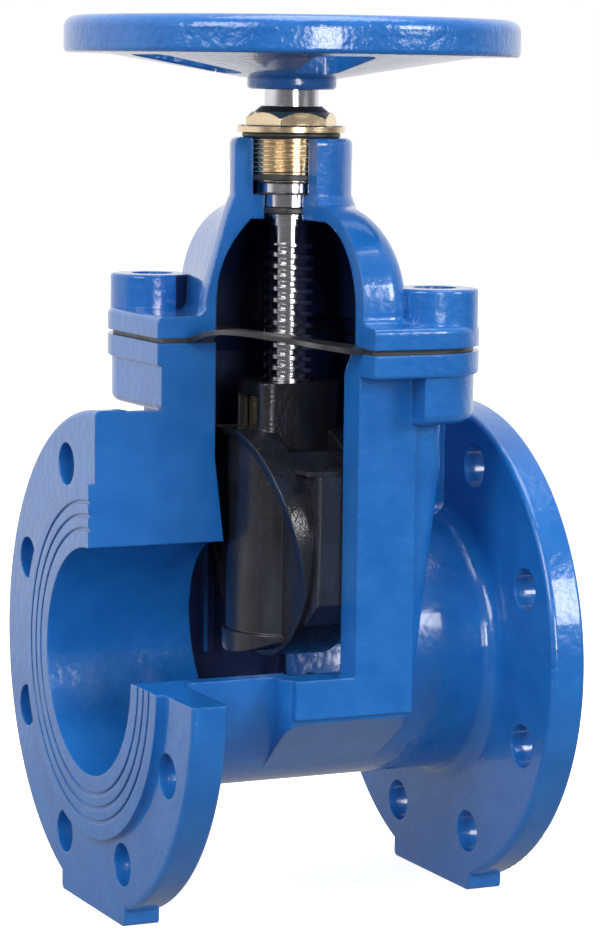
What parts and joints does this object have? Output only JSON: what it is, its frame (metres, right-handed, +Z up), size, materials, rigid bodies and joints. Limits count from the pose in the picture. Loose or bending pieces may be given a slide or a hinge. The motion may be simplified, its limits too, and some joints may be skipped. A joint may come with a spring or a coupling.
{
  "type": "gate valve",
  "caption": "Sectioned flanged gate valve with handwheel, rising wedge on a left-hand stem, bonnet and brass gland; one quarter cut away to show the inside.",
  "frame": {"origin": "on the floor under the stem axis: the centre of the underside of the overall box, level with the flange feet", "axes": "+Z up along the stem axis; +X along the flow axis towards the whole flange; -Y towards the viewer, the side of the removed quarter"},
  "size_m": [0.2006, 0.22, 0.3903],
  "materials": {
    "valve_paint": "thick glossy blue epoxy coating",
    "wheel_paint": "glossy blue epoxy with a fine orange-peel texture",
    "plug_paint": "glossy blue epoxy",
    "joint_rubber": "satin black sealing rubber",
    "wedge_rubber": "satin moulded black rubber",
    "wedge_iron": "cast, dull",
    "shoe_plastic": "moulded black plastic, slightly glossy",
    "washer_plastic": "smooth dark plastic",
    "gland_brass": "turned",
    "nut_brass": "machined",
    "stem_steel": "turned and rolled, bright",
    "fastener_steel": "bright"
  },
  "bodies": {
    "valve": {"body": "valve_paint", "bonnet": "valve_paint", "bonnet_gasket": "joint_rubber", "bonnet_bolts": "fastener_steel", "bolt_plugs": "plug_paint", "gland_bush": "gland_brass", "gland_gasket": "joint_rubber", "gland_orings": "joint_rubber", "gland_foot_oring": "joint_rubber", "wiper_ring": "joint_rubber", "lower_thrust_washer": "washer_plastic", "upper_thrust_washer": "washer_plastic"},
    "spindle": {"stem": "stem_steel", "stem_oring": "joint_rubber", "handwheel": "wheel_paint", "wheel_washer": "fastener_steel", "wheel_bolt": "fastener_steel"},
    "wedge": {"wedge_core": "wedge_iron", "wedge_rubber": "wedge_rubber", "front_guide_shoe": "shoe_plastic", "rear_guide_shoe": "shoe_plastic", "stem_nut": "nut_brass"}
  },
  "joints": [
    {"name": "stem_turn", "type": "hinge", "parent": "valve", "child": "spindle", "pos_m": [0, 0, 0.31], "axis": [0, 0, 1], "range_deg": [-3600, 3600]},
    {"name": "wedge_lift", "type": "slide", "parent": "valve", "child": "wedge", "axis": [0, 0, 1], "range_m": [-0.05, 0.05]}
  ],
  "couplings": [
    {"joint": "wedge_lift", "follows": "stem_turn", "m_per_rad": 0.00079577}
  ]
}
